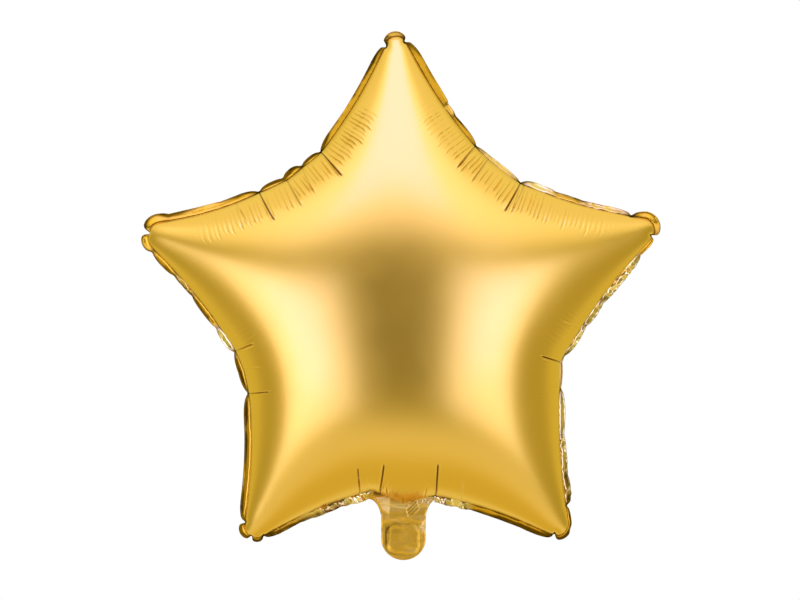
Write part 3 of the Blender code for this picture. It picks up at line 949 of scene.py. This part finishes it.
def noise_node(tree, scale, detail=2.0):
    coordinates = add_node(tree, "ShaderNodeTexCoord")
    node = add_node(tree, "ShaderNodeTexNoise", Scale=scale, Detail=detail)
    tree.links.new(coordinates.outputs["Object"], node.inputs["Vector"])
    return node


def marked(tree, kind, start, tint):
    """A colour that turns from start, a socket or a colour, to a tint where the piece's attribute says so."""
    mark = add_node(tree, "ShaderNodeAttribute", attribute_name=kind)
    mix = add_node(tree, "ShaderNodeMix", data_type="RGBA")
    if isinstance(start, bpy.types.NodeSocket):
        tree.links.new(start, mix.inputs[6])
    else:
        mix.inputs[6].default_value = (*start, 1.0)
    mix.inputs[7].default_value = (*tint, 1.0)
    tree.links.new(mark.outputs["Fac"], mix.inputs[0])
    return mix.outputs[2]


def film_material():
    finish = settings().finish
    material, tree, shader = nodes_of("satin_gold_film")
    # The film's colour is painted paler as light and darker as shade, where its attributes say so
    with_painted_light = marked(tree, "painted_light", finish.film_colour, finish.painted_light_colour)
    tree.links.new(marked(tree, "painted_shade", with_painted_light, finish.painted_shade_colour), shader.inputs["Base Color"])
    shader.inputs["Metallic"].default_value = 1.0
    shader.inputs["Specular Tint"].default_value = (0.93, 0.80, 0.28, 1.0)
    shader.inputs["Coat Weight"].default_value = 0.42
    shader.inputs["Coat IOR"].default_value = 2.2
    shader.inputs["Coat Roughness"].default_value = 0.24
    cloudy = noise_node(tree, 45.0)
    levels = add_node(tree, "ShaderNodeMapRange")
    levels.inputs["To Min"].default_value = finish.film_roughness - 0.03
    levels.inputs["To Max"].default_value = finish.film_roughness + 0.03
    tree.links.new(cloudy.outputs["Fac"], levels.inputs["Value"])
    tree.links.new(levels.outputs["Result"], shader.inputs["Roughness"])
    return material


def crinkled_material(name, tint, roughness, scale, strength):
    """Gold foil with fine crinkles, painted lighter and darker, as light and shade, where the piece's own
    attributes say so.
    """
    finish = settings().finish
    material, tree, shader = nodes_of(name)
    shader.inputs["Metallic"].default_value = 1.0
    shader.inputs["Roughness"].default_value = roughness
    with_painted_light = marked(tree, "painted_light", tint, finish.painted_light_colour)
    tree.links.new(marked(tree, "painted_shade", with_painted_light, finish.painted_shade_colour), shader.inputs["Base Color"])
    crinkle = noise_node(tree, scale, 3.0)
    bump = add_node(tree, "ShaderNodeBump", Strength=strength, Distance=0.001)
    tree.links.new(crinkle.outputs["Fac"], bump.inputs["Height"])
    tree.links.new(bump.outputs["Normal"], shader.inputs["Normal"])
    return material


class OBJECT_OT_balloon_front_film(bpy.types.Operator):
    """Add the front film"""

    bl_idname = "object.balloon_front_film"
    bl_label = "Front film"

    def execute(self, context):
        film_piece("front_film", -1, 1, film_material())
        return {"FINISHED"}


class OBJECT_OT_balloon_back_film(bpy.types.Operator):
    """Add the back film"""

    bl_idname = "object.balloon_back_film"
    bl_label = "Back film"

    def execute(self, context):
        film_piece("back_film", 1, 2, film_material())
        return {"FINISHED"}


class OBJECT_OT_balloon_border(bpy.types.Operator):
    """Add the crinkled border"""

    bl_idname = "object.balloon_border"
    bl_label = "Welded border"

    def execute(self, context):
        finish = settings().finish
        material = crinkled_material(
            "crinkled_gold_border", finish.border_colour, finish.border_roughness, 260.0, 0.15
        )
        border_piece("welded_border", material)
        return {"FINISHED"}


class OBJECT_OT_balloon_tail(bpy.types.Operator):
    """Add the filling tail"""

    bl_idname = "object.balloon_tail"
    bl_label = "Filling tail"

    def execute(self, context):
        finish = settings().finish
        material = crinkled_material("tail_foil", finish.tail_colour, finish.tail_roughness, 180.0, 0.25)
        tail_piece("filling_tail", material)
        return {"FINISHED"}


def lamp(name, azimuth, elevation, distance, size, level, tint):
    """A soft box that shines on the star's centre: azimuth 0 is in front of it and 90 on its right."""
    turn, lift = math.radians(azimuth), math.radians(elevation)
    way = Vector((math.sin(turn) * math.cos(lift), -math.cos(turn) * math.cos(lift), math.sin(lift)))
    light = bpy.data.lights.new(name, "AREA")
    light.shape = "RECTANGLE"
    light.size, light.size_y = size
    light.energy = level * math.pi * size[0] * size[1]
    light.color = tint
    obj = bpy.data.objects.new(name, light)
    bpy.context.scene.collection.objects.link(obj)
    obj.location = Vector(STAR_CENTRE) + way * distance
    obj.rotation_euler = way.to_track_quat("Z", "Y").to_euler()


def studio_world():
    """A white background for the camera, and a room that is darker in front for all else."""
    studio = settings().studio
    world = bpy.data.worlds.new("studio")
    bpy.context.scene.world = world
    world.use_nodes = True
    tree = world.node_tree
    room = tree.nodes["Background"]
    direction = add_node(tree, "ShaderNodeTexCoord")
    split = add_node(tree, "ShaderNodeSeparateXYZ")
    tree.links.new(direction.outputs["Generated"], split.inputs["Vector"])
    colour_so_far = None
    for axis, low, high, level, tint in ROOM:
        part = add_node(tree, "ShaderNodeMapRange", interpolation_type="SMOOTHSTEP")
        part.inputs["From Min"].default_value = low
        part.inputs["From Max"].default_value = high
        tree.links.new(split.outputs[axis], part.inputs["Value"])
        mix = add_node(tree, "ShaderNodeMix", data_type="RGBA")
        mix.inputs[6].default_value = (*(studio.front * value for value in ROOM_FRONT_TINT), 1.0)
        mix.inputs[7].default_value = (*(getattr(studio, level) * value for value in tint), 1.0)
        tree.links.new(part.outputs["Result"], mix.inputs[0])
        if colour_so_far is not None:
            tree.links.new(colour_so_far, mix.inputs[6])
        colour_so_far = mix.outputs[2]
    tree.links.new(colour_so_far, room.inputs["Color"])
    white = add_node(tree, "ShaderNodeBackground", Strength=1.0)
    white.inputs["Color"].default_value = (1.0, 1.0, 1.0, 1.0)
    path = add_node(tree, "ShaderNodeLightPath")
    choose = add_node(tree, "ShaderNodeMixShader")
    tree.links.new(path.outputs["Is Camera Ray"], choose.inputs["Fac"])
    tree.links.new(room.outputs["Background"], choose.inputs[1])
    tree.links.new(white.outputs["Background"], choose.inputs[2])
    tree.links.new(choose.outputs["Shader"], tree.nodes["World Output"].inputs["Surface"])


class OBJECT_OT_balloon_stage(bpy.types.Operator):
    """Add the floor, the lamps and the camera"""

    bl_idname = "object.balloon_stage"
    bl_label = "Stage"

    def execute(self, context):
        scene = context.scene
        studio = settings().studio
        studio_world()
        for name, turn, lift, distance, size, level, tint in LAMPS:
            lamp(name, turn, lift, distance, size, getattr(studio, level), tint)
        floor = bmesh.new()
        bmesh.ops.create_circle(floor, cap_ends=True, segments=96, radius=FLOOR_RADIUS)
        bmesh.ops.translate(floor, verts=floor.verts, vec=(0, 0, FLOOR_HEIGHT))
        mesh = bpy.data.meshes.new("floor")
        floor.to_mesh(mesh)
        floor.free()
        ground = bpy.data.objects.new("floor", mesh)
        scene.collection.objects.link(ground)
        material, _, shader = nodes_of("pale_floor")
        shader.inputs["Base Color"].default_value = (0.90, 0.84, 0.90, 1.0)
        shader.inputs["Roughness"].default_value = 0.7
        mesh.materials.append(material)
        ground.visible_glossy = False
        camera = bpy.data.objects.new("camera", bpy.data.cameras.new("camera"))
        scene.collection.objects.link(camera)
        camera.data.lens = CAMERA_LENS
        camera.location = CAMERA_PLACE
        camera.rotation_euler = (math.radians(90), 0, 0)
        scene.camera = camera
        scene.view_settings.view_transform = "Standard"
        return {"FINISHED"}


class VIEW3D_PT_balloon(bpy.types.Panel):
    """The balloon's settings, and a button for each of its pieces"""

    bl_idname = "VIEW3D_PT_balloon"
    bl_label = "Star foil balloon"
    bl_space_type = "VIEW_3D"
    bl_region_type = "UI"
    bl_category = "Balloon"

    def draw(self, context):
        values = settings()
        for group in (values.star, values.border, values.tail, values.finish, values.studio):
            box = self.layout.box()
            for name in group.__annotations__:
                box.prop(group, name)
        for operator in OPERATORS:
            self.layout.operator(operator.bl_idname)


OPERATORS = (
    OBJECT_OT_balloon_stage,
    OBJECT_OT_balloon_front_film,
    OBJECT_OT_balloon_back_film,
    OBJECT_OT_balloon_border,
    OBJECT_OT_balloon_tail,
)
GROUPS = (StarSizes, BorderSizes, TailSizes, FoilFinish, StudioLevels, BalloonSettings)
CLASSES = GROUPS + OPERATORS + (VIEW3D_PT_balloon,)


def register():
    for item in CLASSES:
        bpy.utils.register_class(item)
    bpy.types.Scene.star_foil_balloon = bpy.props.PointerProperty(type=BalloonSettings)


def unregister():
    del bpy.types.Scene.star_foil_balloon
    for item in reversed(CLASSES):
        bpy.utils.unregister_class(item)


def main():
    register()
    bpy.ops.object.balloon_stage()
    bpy.ops.object.balloon_front_film()
    bpy.ops.object.balloon_back_film()
    bpy.ops.object.balloon_border()
    bpy.ops.object.balloon_tail()


if __name__ == "__main__":
    main()
